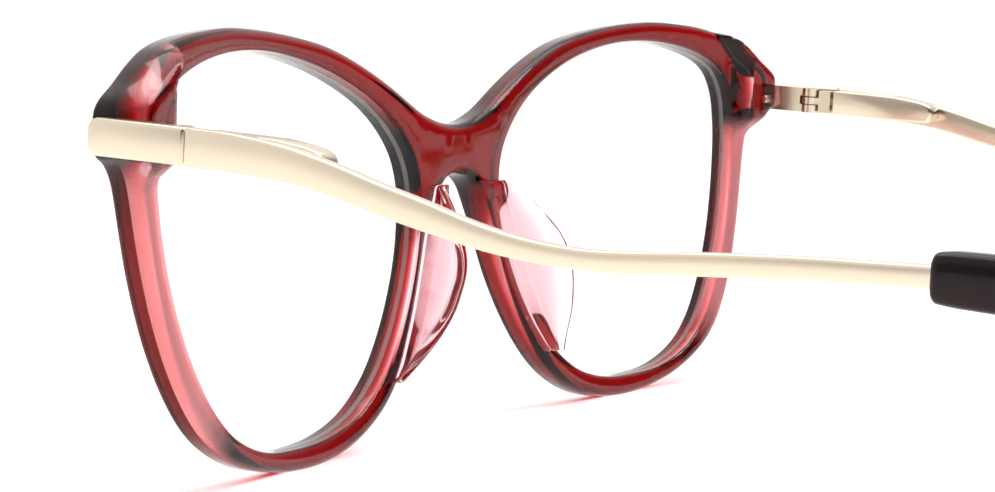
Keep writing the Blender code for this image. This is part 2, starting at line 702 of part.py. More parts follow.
def make_temple_arm(name, side, parent):
    height = 2 * PLATE_HALF_HEIGHT
    bar = [(ARM_START, 0.0, height), (ARM_START + 2.0, -0.02, height)]
    bar += [(*to_hinge_frame(y, z), h) for y, z, h in TEMPLE_STATIONS]
    bar.append((*to_hinge_frame(CORE_START, 23.13), 1.92))
    sections = [(station, ARM_INNER_FACE, OUTER_FACE, 0.3) for station in refined(bar)]
    core = [(station, ARM_INNER_FACE + CORE_INSET, OUTER_FACE - CORE_INSET, 0.2) for station in core_stations()]
    arm = mesh_object(name, loft_bar(sections + core, side), GLASSES, GOLD, parent)
    shade(arm)
    return arm


def make_temple_tip(name, side, parent):
    stations = [(*to_hinge_frame(y, z), h) for y, z, h in TIP_STATIONS]
    sections = [(station, TIP_INNER_FACE, TIP_OUTER_FACE, TIP_CORNER) for station in refined(stations)]
    for place, shrink in ((TIP_START, 0.5), (TIP_START + 0.2, 0.2)):
        station = (*to_hinge_frame(place, 23.06), TIP_STATIONS[0][2] - 2 * shrink)
        sections.insert(0 if place == TIP_START else 1,
                        (station, TIP_INNER_FACE + shrink, TIP_OUTER_FACE - shrink, TIP_CORNER - shrink))
    for (y, z, h), shrink in TIP_ROUNDING:
        sections.append(((*to_hinge_frame(y, z), h), TIP_INNER_FACE + shrink, TIP_OUTER_FACE - shrink,
                         TIP_CORNER - 0.5 * shrink))
    tip = mesh_object(name, loft_bar(sections, side), GLASSES, TIP, parent)
    slot = [(station, ARM_INNER_FACE + CORE_INSET - GAP, OUTER_FACE - CORE_INSET + GAP, 0.3)
            for station in core_stations(2 * GAP, GAP)]
    mouth = (*to_hinge_frame(TIP_START - 2.0, 23.13), CORE_HEIGHT + 2 * GAP)
    slot[0] = (mouth, *slot[0][1:])
    boolean(tip, loft_bar(slot, side), "DIFFERENCE", name + "_slot")
    floor = floor_cutter()
    bmesh.ops.transform(floor, matrix=hinge_matrix().inverted(), verts=floor.verts)
    boolean(tip, floor, "DIFFERENCE", name + "_table")
    bake(tip)
    shade(tip)
    return tip


# Assembly --------------------------------------------------------------------

for leftover in list(bpy.data.objects):
    bpy.data.objects.remove(leftover, do_unlink=True)

GLASSES = bpy.data.collections.new("eyeglasses")
CUTTERS = bpy.data.collections.new("cutters")
bpy.context.scene.collection.children.link(GLASSES)
bpy.context.scene.collection.children.link(CUTTERS)

BURGUNDY = material("front_burgundy", (0.055, 0.004, 0.008), 0.12)
PINK = material("back_pink", (0.75, 0.16, 0.19), 0.12, transmission=0.6, alpha=0.75)
CLEAR_PINK = material("pad_clear", (0.95, 0.72, 0.73), 0.1, transmission=0.9, alpha=0.55)
LENS = material("lens_clear", (0.95, 0.97, 0.96), 0.03, transmission=1.0, alpha=0.25)
GOLD = material("champagne_gold", (0.83, 0.67, 0.47), 0.28, metallic=1.0)
STEEL = material("steel", (0.55, 0.54, 0.52), 0.3, metallic=1.0)
TIP = material("tip_burgundy", (0.03, 0.004, 0.006), 0.1)


def empty(name, location, parent=None, turn=0.0):
    obj = bpy.data.objects.new(name, None)
    obj.location = Vector(location) * MM
    obj.rotation_euler = (turn, 0.0, 0.0)
    obj.parent = parent
    GLASSES.objects.link(obj)
    return obj


face_origin = empty("face_origin", (0.0, -MID_DEPTH, -FLOOR))
make_front_layer(face_origin)
make_back_layer(face_origin)
for side, label in ((1, "left"), (-1, "right")):
    make_lens(label + "_lens", side, face_origin)
    make_nose_pad(label + "_nose_pad", side, face_origin)
    x, y, z = HINGE
    axis = empty(label + "_hinge_axis", (side * x, y, z), face_origin, TEMPLE_SLOPE)
    make_endpiece_plate(label + "_endpiece_plate", side, axis)
    make_front_hinge(label + "_front_hinge", side, axis)
    make_endpiece_screw(label + "_endpiece_screw", side, axis)
    make_hinge_screw(label + "_hinge_screw", side, axis)
    make_hinge_slider(label + "_hinge_slider", side, axis)
    make_spring_stop(label + "_spring_stop", side, axis)
    make_hinge_spring(label + "_hinge_spring", side, axis)
    make_spring_box(label + "_spring_box", side, axis)
    make_temple_arm(label + "_temple_arm", side, axis)
    make_temple_tip(label + "_temple_tip", side, axis)
bpy.context.view_layer.update()
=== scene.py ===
"""Eyeglasses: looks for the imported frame. Lengths are in millimetres until to_row() places them in metres."""
import math

import bmesh
import bpy
import numpy as np
from mathutils import Matrix, Vector
from mathutils.geometry import delaunay_2d_cdt


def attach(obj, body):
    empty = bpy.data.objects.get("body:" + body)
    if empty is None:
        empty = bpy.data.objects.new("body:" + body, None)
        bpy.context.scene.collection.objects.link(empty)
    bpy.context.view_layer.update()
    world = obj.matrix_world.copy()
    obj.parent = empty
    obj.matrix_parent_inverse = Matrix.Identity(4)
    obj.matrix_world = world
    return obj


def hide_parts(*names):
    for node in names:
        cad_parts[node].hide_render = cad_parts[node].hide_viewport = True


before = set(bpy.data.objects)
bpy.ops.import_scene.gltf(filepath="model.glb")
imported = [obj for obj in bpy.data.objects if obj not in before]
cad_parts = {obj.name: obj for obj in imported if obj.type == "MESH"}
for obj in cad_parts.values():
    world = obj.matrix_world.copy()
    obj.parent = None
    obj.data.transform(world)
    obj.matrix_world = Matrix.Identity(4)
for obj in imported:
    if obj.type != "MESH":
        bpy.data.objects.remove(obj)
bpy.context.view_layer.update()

SIDES = ((1, "left"), (-1, "right"))

# Row frame: where the face-form origin lies
FLOOR = -5.45
MID_DEPTH = 70.865

# Camera, in face-form millimetres
EYE = Vector((272.183, 186.191, 44.376))
HEADING = math.radians(33.170)
PITCH = math.radians(4.848)
ROLL = math.radians(-0.438)
LENS_MM = 98.85

# Face form: how the flat sheet is bent
WRAP_RADIUS = 428.0
RISE_RADIUS = 175.0
RISE_CENTRE = 18.5
LENS_BOW = 0.86
LENS_BOW_PERIOD = 70.0
TILT = math.radians(3.46)

# The two sheets: depths from the front surface, and how their edges are rounded
LAMINATE = 2.05               # depth of the joint between the dark and the pink sheet
JOINT = 0.004                 # half of the hairline between the two meshes
BACK = 3.8
FRONT_ROUND = 0.5
BACK_ROUND = 1.25
OPENING_ROUND = 0.45
OUTLINE_SPACING = 0.75        # between points along an outline
OUTLINE_STEPS = 12            # curve points between two outline points
CAP_GRID = 2.2                # between points on the flat of a sheet
CAP_STAGGER = 0.31
BLOCK_GRID = 0.55             # the same, where the blocks rise
BORDER_GAP = 0.45             # kept free between the grid and a border
SHARP_ANGLE = math.radians(50.0)

# End blocks: they rise behind the rims beyond a slanted foot
BLOCK = 2.75
BLOCK_FOOT = 61.3
BLOCK_SHOULDER = 37.0         # height above which the foot slants inwards
BLOCK_SLANT = 0.75
BLOCK_RAMP = 1.5
BLOCK_UNDERSIDE = (26.9, 29.6)
BLOCK_AREA = (56.5, 25.0)     # distance from the middle and height that bound the finer grid

# Painted light: the pink sheet is made lighter towards the temples and low down, where light shines through it;
# from the first to the second value
PAINTED_LIGHT_ALONG = (50.0, 57.0)
PAINTED_LIGHT_BELOW = (26.0, 30.0)

# Lenses
LENS_DEPTHS = (1.62, 2.3)
LENS_CLEARANCE = 0.06
LENS_SPACING = 0.9
LENS_RINGS = 18

# Half outlines on the flat sheet: distance from the middle, height
TOP_EDGE = [
    (0.0, 31.1), (3.0, 31.4), (5.5, 32.1), (8.0, 33.1), (13.4, 36.0), (19.1, 38.6),
    (24.9, 40.6), (31.0, 41.8), (38.0, 42.6), (45.0, 42.9), (51.0, 42.5), (55.5, 41.9),
    (59.5, 40.9), (62.6, 39.3), (65.2, 37.5), (67.6, 36.0), (68.6, 34.8), (68.8, 33.0),
    (68.8, 31.3), (68.3, 30.2),
]
LOWER_EDGE = [
    (66.8, 29.3), (65.6, 27.7), (64.9, 25.5), (64.2, 22.2), (63.3, 18.0), (62.1, 13.6),
    (60.5, 9.2), (58.3, 4.9), (55.4, 1.1), (51.6, -1.7), (46.5, -3.9), (41.0, -5.2),
    (36.0, -5.7), (31.0, -5.55), (26.0, -4.6), (21.5, -2.8), (17.6, -0.3), (14.2, 3.2),
    (11.3, 7.4), (9.1, 11.5), (7.7, 14.8), (6.5, 18.0), (5.2, 20.8), (3.8, 23.4),
    (2.0, 24.8), (0.0, 25.2),
]
LENS_OPENING = [
    (8.7, 22.5), (9.2, 26.2), (11.0, 29.4), (14.5, 32.7), (19.1, 35.4), (25.8, 38.0),
    (33.0, 39.7), (40.0, 40.4), (47.0, 40.1), (53.5, 38.8), (58.6, 36.6), (61.0, 33.2),
    (61.7, 28.5), (61.4, 23.5), (60.4, 18.0), (58.9, 13.0), (56.6, 7.8), (53.4, 3.0),
    (49.2, -0.5), (43.2, -2.7), (36.5, -3.2), (30.0, -2.8), (23.8, -1.0), (18.5, 2.5),
    (14.5, 7.0), (11.4, 12.2), (9.5, 17.2),
]
# Nose pads: ridge points, then how the fin's section bulges from straight lines
PAD_RIDGE = [
    (7.5, 5.8, 24.0), (8.2, 7.3, 22.2), (9.2, 9.0, 20.0), (10.2, 10.3, 18.0),
    (10.9, 11.1, 16.0), (11.6, 11.4, 14.0), (12.3, 11.2, 12.0), (13.0, 10.8, 10.0),
    (13.9, 10.1, 8.0), (14.9, 9.1, 6.0), (16.1, 7.9, 4.0), (17.6, 6.7, 2.0),
]
PAD_ROOT_INSET = 0.3
PAD_ROOT_WIDTH = 2.9
PAD_ROOT_GAP = 0.02
PAD_NASAL_BULGE = Vector((-0.35, 0.3, 0.0))
PAD_RIDGE_NASAL = Vector((-0.55, -0.45, 0.0))
PAD_RIDGE_TOP = Vector((0.0, 0.05, 0.0))
PAD_RIDGE_INNER = Vector((0.45, -0.5, 0.0))
PAD_INNER_BULGE = Vector((-0.3, -0.05, 0.0))
PAD_BLUSH = (0.3, 0.75)       # share of the way from root to ridge over which the pink fades

# Hinge frame: y back along the temple, z along the hinge axis, x outward
HINGE = (67.6, 16.0, 32.22)
TEMPLE_SLOPE = math.radians(-4.0)
OUTER_FACE = 3.4
ARM_INNER_FACE = 1.9
PLATE_INNER_FACE = 1.65
PLATE_FRONT = -9.2
PLATE_REAR = 3.0
PLATE_HALF_HEIGHT = 1.87
PLATE_NOSE_RADIUS = 1.15
PLATE_ROUND = 0.42
ARM_START = PLATE_REAR + 0.14
ARM_STRAIGHT = 2.0            # straight length before the wave begins
ARM_DROP = 0.02
ARM_START_ROUND = 0.12
ARM_CORNER = 0.42
BOX_FRONT = 3.6
BOX_REAR = 18.4
BOX_INNER_FACE = -0.9
BOX_SINK = 0.02               # between the box and the arm's inner face
BOX_ROUND = 0.28

TEMPLE_STATIONS = [
    (24.6, 31.53, 3.7), (30.3, 30.72, 3.4), (35.8, 29.45, 3.05), (41.2, 27.8, 2.9),
    (46.5, 26.3, 2.75), (51.7, 24.85, 2.35), (56.7, 23.82, 2.05), (61.7, 23.2, 1.92),
    (66.5, 23.0, 1.95), (75.9, 23.2, 2.05), (85.0, 23.28, 2.0), (91.0, 23.2, 1.95),
    (95.7, 23.13, 1.92), (98.0, 23.1, 1.9),
]
TIP_STATIONS = [
    (96.8, 23.05, 4.3), (98.5, 22.95, 4.6), (103.0, 22.6, 4.8), (110.0, 21.8, 5.0),
    (116.0, 20.0, 5.3), (121.0, 17.1, 5.6), (126.0, 13.0, 5.9), (131.0, 8.2, 6.1),
    (135.5, 3.4, 6.1), (138.5, -0.5, 5.6), (140.1, -2.6, 4.8), (141.2, -4.0, 3.6),
    (141.8, -4.7, 2.2),
]
TIP_INNER_FACE = 1.15
TIP_OUTER_FACE = 4.15
TIP_CORNER = 1.0
TIP_START_ROUND = 0.7
TIP_END_ROUND = 0.45
TIP_PINCH = 0.95              # how much each face closes in at the end
TIP_PINCH_RUN = 16            # over this many stations

# Materials: absorption is a colour and a density per metre
DARK_ABSORB = ((0.76, 0.05, 0.08), 2600.0)
PINK_ABSORB = ((0.80, 0.20, 0.25), 190.0)
PAD_ABSORB = ((0.97, 0.30, 0.36), 60.0)
ACETATE_IOR = 1.49
ACETATE_SHEEN = (0.6, 0.52, 0.52, 1.0)
POLISH_WAVES = 0.00004        # metres
# Painted light: pale pink diffuse and translucent colours that lighten the pink sheet towards the temples
PAINTED_LIGHT_DIFFUSE = (0.90, 0.42, 0.43, 1.0)
PAINTED_LIGHT_TRANSLUCENT = (0.95, 0.55, 0.56, 1.0)
PAINTED_LIGHT_STRENGTH = 0.38
BLUSH = (0.95, 0.52, 0.57, 1.0)
LENS_TINT = (0.985, 0.992, 0.988, 1.0)
LENS_COATING = (0.8, 0.95, 0.88, 1.0)
LENS_REFLECTION = (0.008, 0.6)    # seen straight on, and at a slant
SCHLICK_POWER = 5.0
EDGE_GROUND = (0.75, 0.72, 0.71, 1.0)
EDGE_CLEAR = (0.93, 0.9, 0.9, 1.0)
EDGE_CLEARNESS = 0.8
CHAMPAGNE = (0.80, 0.675, 0.52)
SCREW_STEEL = (0.62, 0.60, 0.57)
METAL_SHADES = (0.965, 1.03)
METAL_GRAIN = 0.000004        # metres
TIP_MARBLE = ((0.35, (0.006, 0.001, 0.001, 1.0)), (0.8, (0.026, 0.002, 0.003, 1.0)))

# Studio: the world is bright on one side, and lengths are in metres
BRIGHT_SIDE = (-0.33, -0.92, 0.55)
BRIGHT_EDGE = (-0.25, 0.45)       # where the world turns from dark to bright
WORLD_DARK = 0.06
WORLD_BRIGHT = 1.0
BACKDROP = 1.05
TABLE_RADIUS = 12.0
TABLE_GAP = 0.00002
TABLE_WHITE = (0.93, 0.93, 0.93, 1.0)
SUN_ENERGY = 1.7
SUN_SPREAD = math.radians(35.0)
SUN_TURN = (math.radians(-22.0), math.radians(-12.0), 0.0)
OVERHEAD_PLACE = (-0.15, -0.1, 0.9)
OVERHEAD_SIZE = (0.9, 0.9)
OVERHEAD_ENERGY = 5.0


# Curves and frames -------------------------------------------------------------

def to_row(point):
    return Vector((point[0], point[1] - MID_DEPTH, point[2] - FLOOR)) * 0.001


def spline(points, closed=False, steps=16):
    """Catmull-Rom path through points of any dimension."""
    pts = [np.array(p, float) for p in points]
    if closed:
        pts = [pts[-1]] + pts + pts[:2]
    else:
        pts = [2 * pts[0] - pts[1]] + pts + [2 * pts[-1] - pts[-2]]
    path = []
    for i in range(1, len(pts) - 2):
        a, b, c, d = pts[i - 1:i + 3]
        for k in range(steps):
            t = k / steps
            path.append(0.5 * (2 * b + (c - a) * t + (2 * a - 5 * b + 4 * c - d) * t * t
                               + (3 * b - a - 3 * c + d) * t ** 3))
    if not closed:
        path.append(pts[-2])
    return np.array(path)


def resample(path, spacing, closed=True):
    """Even spacing along a path."""
    pts = np.vstack([path, path[:1]]) if closed else path
    length = np.concatenate([[0], np.cumsum(np.linalg.norm(np.diff(pts, axis=0), axis=1))])
    count = max(8, int(round(length[-1] / spacing)))
    at = np.linspace(0, length[-1], count, endpoint=not closed)
    return np.stack([np.interp(at, length, pts[:, k]) for k in range(pts.shape[1])], 1)


def normals_2d(loop):
    """Unit normals to the left of a closed loop's direction."""
    run = np.roll(loop, -1, 0) - np.roll(loop, 1, 0)
    run /= np.linalg.norm(run, axis=1)[:, None]
    return np.stack([-run[:, 1], run[:, 0]], 1)


def signed_area(loop):
    x, y = loop[:, 0], loop[:, 1]
    return 0.5 * np.sum(x * np.roll(y, -1) - np.roll(x, -1) * y)


def inside(points, loop):
    """Which points lie in a closed loop."""
    x, y = points[:, 0][:, None], points[:, 1][:, None]
    x0, y0 = loop[:, 0][None], loop[:, 1][None]
    x1, y1 = np.roll(loop[:, 0], -1)[None], np.roll(loop[:, 1], -1)[None]
    crosses = (y0 > y) != (y1 > y)
    reach = x0 + (y - y0) * (x1 - x0) / np.where(y1 == y0, 1e-9, y1 - y0)
    return (np.sum(crosses & (x < reach), axis=1) % 2) == 1


def smooth_step(value, low, high):
    t = np.clip((value - low) / (high - low), 0, 1)
    return t * t * (3 - 2 * t)


def face_point(along, height, depth):
    """Place a point of the flat sheet on the bent, tilted front."""
    bow = (height - RISE_CENTRE) ** 2 / (2 * RISE_RADIUS)
    bow += LENS_BOW * math.cos(2 * math.pi * along / LENS_BOW_PERIOD)
    radius = WRAP_RADIUS - depth - bow
    angle = along / WRAP_RADIUS
    back = WRAP_RADIUS - radius * math.cos(angle)
    return Vector((
        radius * math.sin(angle),
        math.cos(TILT) * back - math.sin(TILT) * height,
        math.sin(TILT) * back + math.cos(TILT) * height,
    ))


def full_outline():
    half = TOP_EDGE + LOWER_EDGE
    return half + [(-x, y) for x, y in reversed(half[1:-1])]


def opening(side):
    return [(side * x, y) for x, y in LENS_OPENING]


def block_rise(along, height):
    """How far the end block stands behind the rim at a place on the sheet."""
    s = abs(along)
    foot = BLOCK_FOOT - BLOCK_SLANT * max(0.0, height - BLOCK_SHOULDER)
    return BLOCK * float(smooth_step(s, foot, foot + BLOCK_RAMP) * smooth_step(height, *BLOCK_UNDERSIDE))


# Meshes ------------------------------------------------------------------------

def new_piece(name, bm, materials, body, replaces=()):
    """A bmesh in face-form millimetres becomes a piece of the object."""
    for vert in bm.verts:
        vert.co = to_row(vert.co)
    bmesh.ops.recalc_face_normals(bm, faces=bm.faces)
    mesh = bpy.data.meshes.new(name)
    bm.to_mesh(mesh)
    bm.free()
    obj = bpy.data.objects.new(name, mesh)
    bpy.context.scene.collection.objects.link(obj)
    for material in materials:
        mesh.materials.append(material)
    mesh.shade_smooth()
    mesh.set_sharp_from_angle(angle=SHARP_ANGLE)
    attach(obj, body)
    if replaces:
        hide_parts(*replaces)
    return obj


def rounded_profile(start, end, start_round, end_round, steps=5):
    """Inset and depth round an edge, from the front cap to the back cap."""
    profile = []
    for k in range(steps + 1 if start_round else 1):
        a = 0.5 * math.pi * k / steps
        profile.append((start_round * (1 - math.sin(a)), start + start_round * (1 - math.cos(a))))
    for k in range(steps + 1 if end_round else 1):
        a = 0.5 * math.pi * k / steps
        profile.append((end_round * (1 - math.cos(a)), end - end_round * (1 - math.sin(a))))
    return profile


def risen(rise, x, y, depth):
    """Extra depth of a point behind the joint, where the end blocks stand out."""
    if rise is None:
        return 0.0
    return rise(x, y) * max(0.0, (depth - LAMINATE) / (BACK - LAMINATE))


def sheet_mesh(loops, profile, hole_profile, rise, joint_in_front, joint_behind, fine=None):
    """Solid sheet: rings of an edge profile round each loop, closed by two triangulated caps.

    loops: closed 2D loops; the first is outside, the others are holes.
    """
    bm = bmesh.new()
    joint = bm.faces.layers.float.new("joint")
    oriented = []
    for index, loop in enumerate(loops):
        anticlockwise = signed_area(loop) > 0
        oriented.append(loop if anticlockwise == (index == 0) else loop[::-1])
    rings = []
    for index, loop in enumerate(oriented):
        inward = normals_2d(loop)
        rows = []
        for inset, depth in profile if index == 0 else hole_profile:
            flat = loop + inward * inset
            row = []
            for x, y in flat:
                row.append(bm.verts.new((x, y, depth + risen(rise, x, y, depth))))
            rows.append((flat, row))
        rings.append(rows)
        for (_, one), (_, two) in zip(rows, rows[1:]):
            for i in range(len(one)):
                j = (i + 1) % len(one)
                bm.faces.new((one[i], one[j], two[j], two[i]))
    low = oriented[0].min(0)
    high = oriented[0].max(0)
    for end, flagged in ((0, joint_in_front), (-1, joint_behind)):
        borders = [rows[end] for rows in rings]
        flat = np.vstack([border[0] for border in borders])
        verts = [vert for border in borders for vert in border[1]]
        edges = []
        start = 0
        for border in borders:
            n = len(border[1])
            edges += [(start + i, start + (i + 1) % n) for i in range(n)]
            start += n
        grid = flat_grid(low, high, CAP_GRID, CAP_STAGGER)
        if fine is not None:
            dense = flat_grid(low, high, BLOCK_GRID)
            grid = np.vstack([grid[~fine(grid)], dense[fine(dense)]])
        keep = inside(grid, borders[0][0])
        for border in borders[1:]:
            keep &= ~inside(grid, border[0])
        grid = grid[keep]
        reach = np.min(np.linalg.norm(grid[:, None] - flat[None], axis=2), axis=1)
        grid = grid[reach > BORDER_GAP]
        points = np.vstack([flat, grid])
        out, _, faces, _, _, _ = delaunay_2d_cdt([Vector(p) for p in points], edges, [], 0, 1e-7)
        if len(out) != len(points):
            raise RuntimeError("the outline's points are too close together")
        depth = profile[end][1]
        for x, y in grid:
            verts.append(bm.verts.new((x, y, depth + risen(rise, x, y, depth))))
        corners = np.array(faces)
        centres = points[corners].mean(1)
        keep = inside(centres, borders[0][0])
        for border in borders[1:]:
            keep &= ~inside(centres, border[0])
        for corner in corners[keep]:
            try:
                face = bm.faces.new([verts[i] for i in corner])
            except ValueError:
                continue
            face[joint] = 1.0 if flagged else 0.0
    # Painted light mask: lighter pink towards the temples and low down
    painted_light_mask = bm.verts.layers.float.new("painted_light_mask")
    for vert in bm.verts:
        outward = smooth_step(abs(vert.co.x), *PAINTED_LIGHT_ALONG)
        vert[painted_light_mask] = float(outward * (1.0 - smooth_step(vert.co.y, *PAINTED_LIGHT_BELOW)))
        vert.co = face_point(*vert.co)
        vert.co.z = max(vert.co.z, FLOOR)
    return bm


def flat_grid(low, high, spacing, stagger=0.0):
    """Even points over a box; every second one is shifted sideways by the stagger."""
    gx, gy = np.meshgrid(np.arange(low[0], high[0], spacing), np.arange(low[1], high[1], spacing))
    return np.stack([gx.ravel() + stagger * (np.arange(gx.size) % 2), gy.ravel()], 1)


def near_blocks(points):
    return (np.abs(points[:, 0]) > BLOCK_AREA[0]) & (points[:, 1] > BLOCK_AREA[1])


def lens_mesh(side):
    """Thin bowed plate that ends just short of the wall of its opening."""
    loop = resample(spline(opening(side), closed=True), LENS_SPACING)
    if signed_area(loop) < 0:
        loop = loop[::-1]
    loop = loop + normals_2d(loop) * LENS_CLEARANCE
    centre = loop.mean(0)
    bm = bmesh.new()
    layers = []
    for depth in LENS_DEPTHS:
        rows = []
        for k in range(1, LENS_RINGS + 1):
            flat = centre + (loop - centre) * (k / LENS_RINGS)
            rows.append([bm.verts.new(face_point(*point, depth)) for point in flat])
        middle = bm.verts.new(face_point(*centre, depth))
        for i in range(len(loop)):
            j = (i + 1) % len(loop)
            bm.faces.new((middle, rows[0][i], rows[0][j]))
            for one, two in zip(rows, rows[1:]):
                bm.faces.new((one[i], two[i], two[j], one[j]))
        layers.append(rows[-1])
    for i in range(len(loop)):
        j = (i + 1) % len(loop)
        face = bm.faces.new((layers[0][i], layers[0][j], layers[1][j], layers[1][i]))
        face.material_index = 1
    return bm


def edge_at_height(height):
    """Distance from the middle of the nasal side of the rim at a height."""
    edge = [p for p in LOWER_EDGE if p[0] < 30.0]
    heights = [p[1] for p in edge]
    return float(np.interp(height, heights, [p[0] for p in edge]))


def pad_mesh(side):
    """Fin with a rounded ridge, lofted along the nasal side of the rim."""
    ridge_path = spline(PAD_RIDGE, steps=6)
    bm = bmesh.new()
    joint = bm.faces.layers.float.new("joint")
    blush = bm.verts.layers.float.new("blush")
    rows = []
    for x, y, z in ridge_path:
        root = edge_at_height(z) + PAD_ROOT_INSET
        nasal = face_point(root, z, BACK + PAD_ROOT_GAP)
        inner = face_point(root + PAD_ROOT_WIDTH, z, BACK + PAD_ROOT_GAP)
        ridge = Vector((x, y, nasal.z))
        section = [
            nasal, nasal.lerp(ridge, 0.5) + PAD_NASAL_BULGE, ridge + PAD_RIDGE_NASAL, ridge + PAD_RIDGE_TOP,
            ridge + PAD_RIDGE_INNER, inner.lerp(ridge, 0.5) + PAD_INNER_BULGE, inner,
        ]
        outline = spline(section, steps=4)
        rows.append([bm.verts.new((side * p[0], p[1], p[2])) for p in outline])
    for row in rows:
        for i, vert in enumerate(row):
            from_root = 1.0 - abs(2.0 * i / (len(row) - 1) - 1.0)
            vert[blush] = 1.0 - float(smooth_step(from_root, *PAD_BLUSH))
    for one, two in zip(rows, rows[1:]):
        n = len(one)
        for i in range(n):
            j = (i + 1) % n
            face = bm.faces.new((one[i], one[j], two[j], two[i]))
            face[joint] = 1.0 if i == n - 1 else 0.0
    bm.faces.new(rows[0])
    bm.faces.new(rows[-1][::-1])
    bmesh.ops.triangulate(bm, faces=[f for f in bm.faces if len(f.verts) > 4])
    return bm


def hinge_matrix():
    return Matrix.Translation(HINGE) @ Matrix.Rotation(TEMPLE_SLOPE, 4, "X")


def to_hinge_frame(depth, height):
    point = hinge_matrix().inverted() @ Vector((HINGE[0], depth, height))
    return point.y, point.z


def from_hinge_frame(bm, side):
    bmesh.ops.transform(bm, matrix=hinge_matrix(), verts=bm.verts)
    bmesh.ops.scale(bm, verts=bm.verts, vec=(side, 1.0, 1.0))
    return bm


def rounded_section(inner, outer, height, corner, steps=4):
    """Rounded rectangle round the bar's path: across and up."""
    corner = min(corner, 0.49 * (outer - inner), 0.49 * height)
    points = []
    high = height / 2 - corner
    for cx, cz, start in ((outer - corner, high, 0), (inner + corner, high, 90),
                          (inner + corner, -high, 180), (outer - corner, -high, 270)):
        for k in range(steps + 1):
            a = math.radians(start + 90 * k / steps)
            points.append((cx + corner * math.cos(a), cz + corner * math.sin(a)))
    return points


def bar_mesh(stations, faces, corner, side):
    """Bar along a side-view path; faces gives the inner and outer face at each station."""
    bm = bmesh.new()
    path = np.array(stations)
    run = np.gradient(path[:, :2], axis=0)
    run /= np.linalg.norm(run, axis=1)[:, None]
    rows = []
    for (y, z, height), (ty, tz), (inner, outer) in zip(path, run, faces):
        rows.append([bm.verts.new((across, y - tz * up, z + ty * up))
                     for across, up in rounded_section(inner, outer, height, corner)])
    for one, two in zip(rows, rows[1:]):
        for i in range(len(one)):
            j = (i + 1) % len(one)
            bm.faces.new((one[i], one[j], two[j], two[i]))
    bm.faces.new(rows[0])
    bm.faces.new(rows[-1][::-1])
    return from_hinge_frame(bm, side)


def softened_ends(stations, faces, start=None, end=None, steps=4):
    """Add rounded-off stations before the first and after the last one."""
    stations = [tuple(s) for s in stations]
    faces = list(faces)
    for place, radius in ((0, start), (-1, end)):
        if not radius:
            continue
        y, z, height = stations[place]
        y2, z2, _ = stations[1 if place == 0 else -2]
        out = np.array([y - y2, z - z2])
        out /= np.linalg.norm(out)
        inner, outer = faces[place]
        extra = []
        for k in range(1, steps + 1):
            a = 0.5 * math.pi * k / steps
            shrink = radius * (1 - math.cos(a))
            ahead = out * radius * math.sin(a)
            station = (y + ahead[0], z + ahead[1], height - 2 * shrink)
            extra.append((station, (inner + shrink, outer - shrink)))
        if place == 0:
            extra.reverse()
            stations = [e[0] for e in extra] + stations
            faces = [e[1] for e in extra] + faces
        else:
            stations += [e[0] for e in extra]
            faces += [e[1] for e in extra]
    return stations, faces


def arm_mesh(side):
    height = 2 * PLATE_HALF_HEIGHT
    bar = [(ARM_START + ARM_START_ROUND, 0.0, height), (ARM_START + ARM_STRAIGHT, -ARM_DROP, height)]
    bar += [(*to_hinge_frame(y, z), h) for y, z, h in TEMPLE_STATIONS]
    path = spline(bar, steps=8)
    faces = [(ARM_INNER_FACE, OUTER_FACE)] * len(path)
    path, faces = softened_ends(path, faces, start=ARM_START_ROUND, steps=3)
    return bar_mesh(path, faces, ARM_CORNER, side)


def tip_mesh(side):
    stations = [(*to_hinge_frame(y, z), h) for y, z, h in TIP_STATIONS]
    path = spline(stations, steps=6)
    total = len(path)
    faces = []
    for i in range(total):
        pinch = TIP_PINCH * float(smooth_step(i, total - TIP_PINCH_RUN, total - 1)) ** 1.5
        faces.append((TIP_INNER_FACE + pinch, TIP_OUTER_FACE - pinch))
    path, faces = softened_ends(path, faces, start=TIP_START_ROUND, end=TIP_END_ROUND)
    bm = bar_mesh(path, faces, TIP_CORNER, side)
    for vert in bm.verts:
        vert.co.z = max(vert.co.z, FLOOR)
    return bm


def plate_mesh(outline, low, high, side, rounding):
    """Flat metal piece drawn in side view, with its edges rounded."""
    bm = bmesh.new()
    rows = [[bm.verts.new((x, y, z)) for y, z in outline] for x in (low, high)]
    bm.faces.new(rows[0])
    bm.faces.new(rows[1][::-1])
    for i in range(len(outline)):
        j = (i + 1) % len(outline)
        bm.faces.new((rows[0][i], rows[1][i], rows[1][j], rows[0][j]))
    bmesh.ops.recalc_face_normals(bm, faces=bm.faces)
    sharp = [e for e in bm.edges if e.calc_face_angle(0) > math.radians(40)]
    bmesh.ops.bevel(bm, geom=sharp, offset=rounding, segments=4, profile=0.5, affect="EDGES")
    return from_hinge_frame(bm, side)


def arc(cy, cz, radius, start, end, steps=7):
    angles = [math.radians(start + (end - start) * k / steps) for k in range(steps + 1)]
    return [(cy + radius * math.cos(a), cz + radius * math.sin(a)) for a in angles]


def endpiece_outline():
    h = PLATE_HALF_HEIGHT
    r = PLATE_NOSE_RADIUS
    return (arc(PLATE_FRONT + r, h - r, r, 90, 180) + arc(PLATE_FRONT + r, r - h, r, 180, 270)
            + [(PLATE_REAR, -h), (PLATE_REAR, h)])


def box_outline():
    return [
        (BOX_FRONT, -1.6), (BOX_FRONT, 1.6), (BOX_FRONT + 5.0, 1.58), (BOX_FRONT + 9.0, 1.5),
        (BOX_REAR - 2.4, 1.15), (BOX_REAR - 1.2, 0.9), (BOX_REAR - 0.35, 0.5), (BOX_REAR, -0.2),
        (BOX_REAR - 0.15, -1.0), (BOX_REAR - 0.8, -1.65), (BOX_FRONT + 9.0, -1.65),
    ]


# Materials ---------------------------------------------------------------------

def node_material(name):
    material = bpy.data.materials.new(name)
    material.use_nodes = True
    tree = material.node_tree
    shader = tree.nodes["Principled BSDF"]
    return material, tree, shader


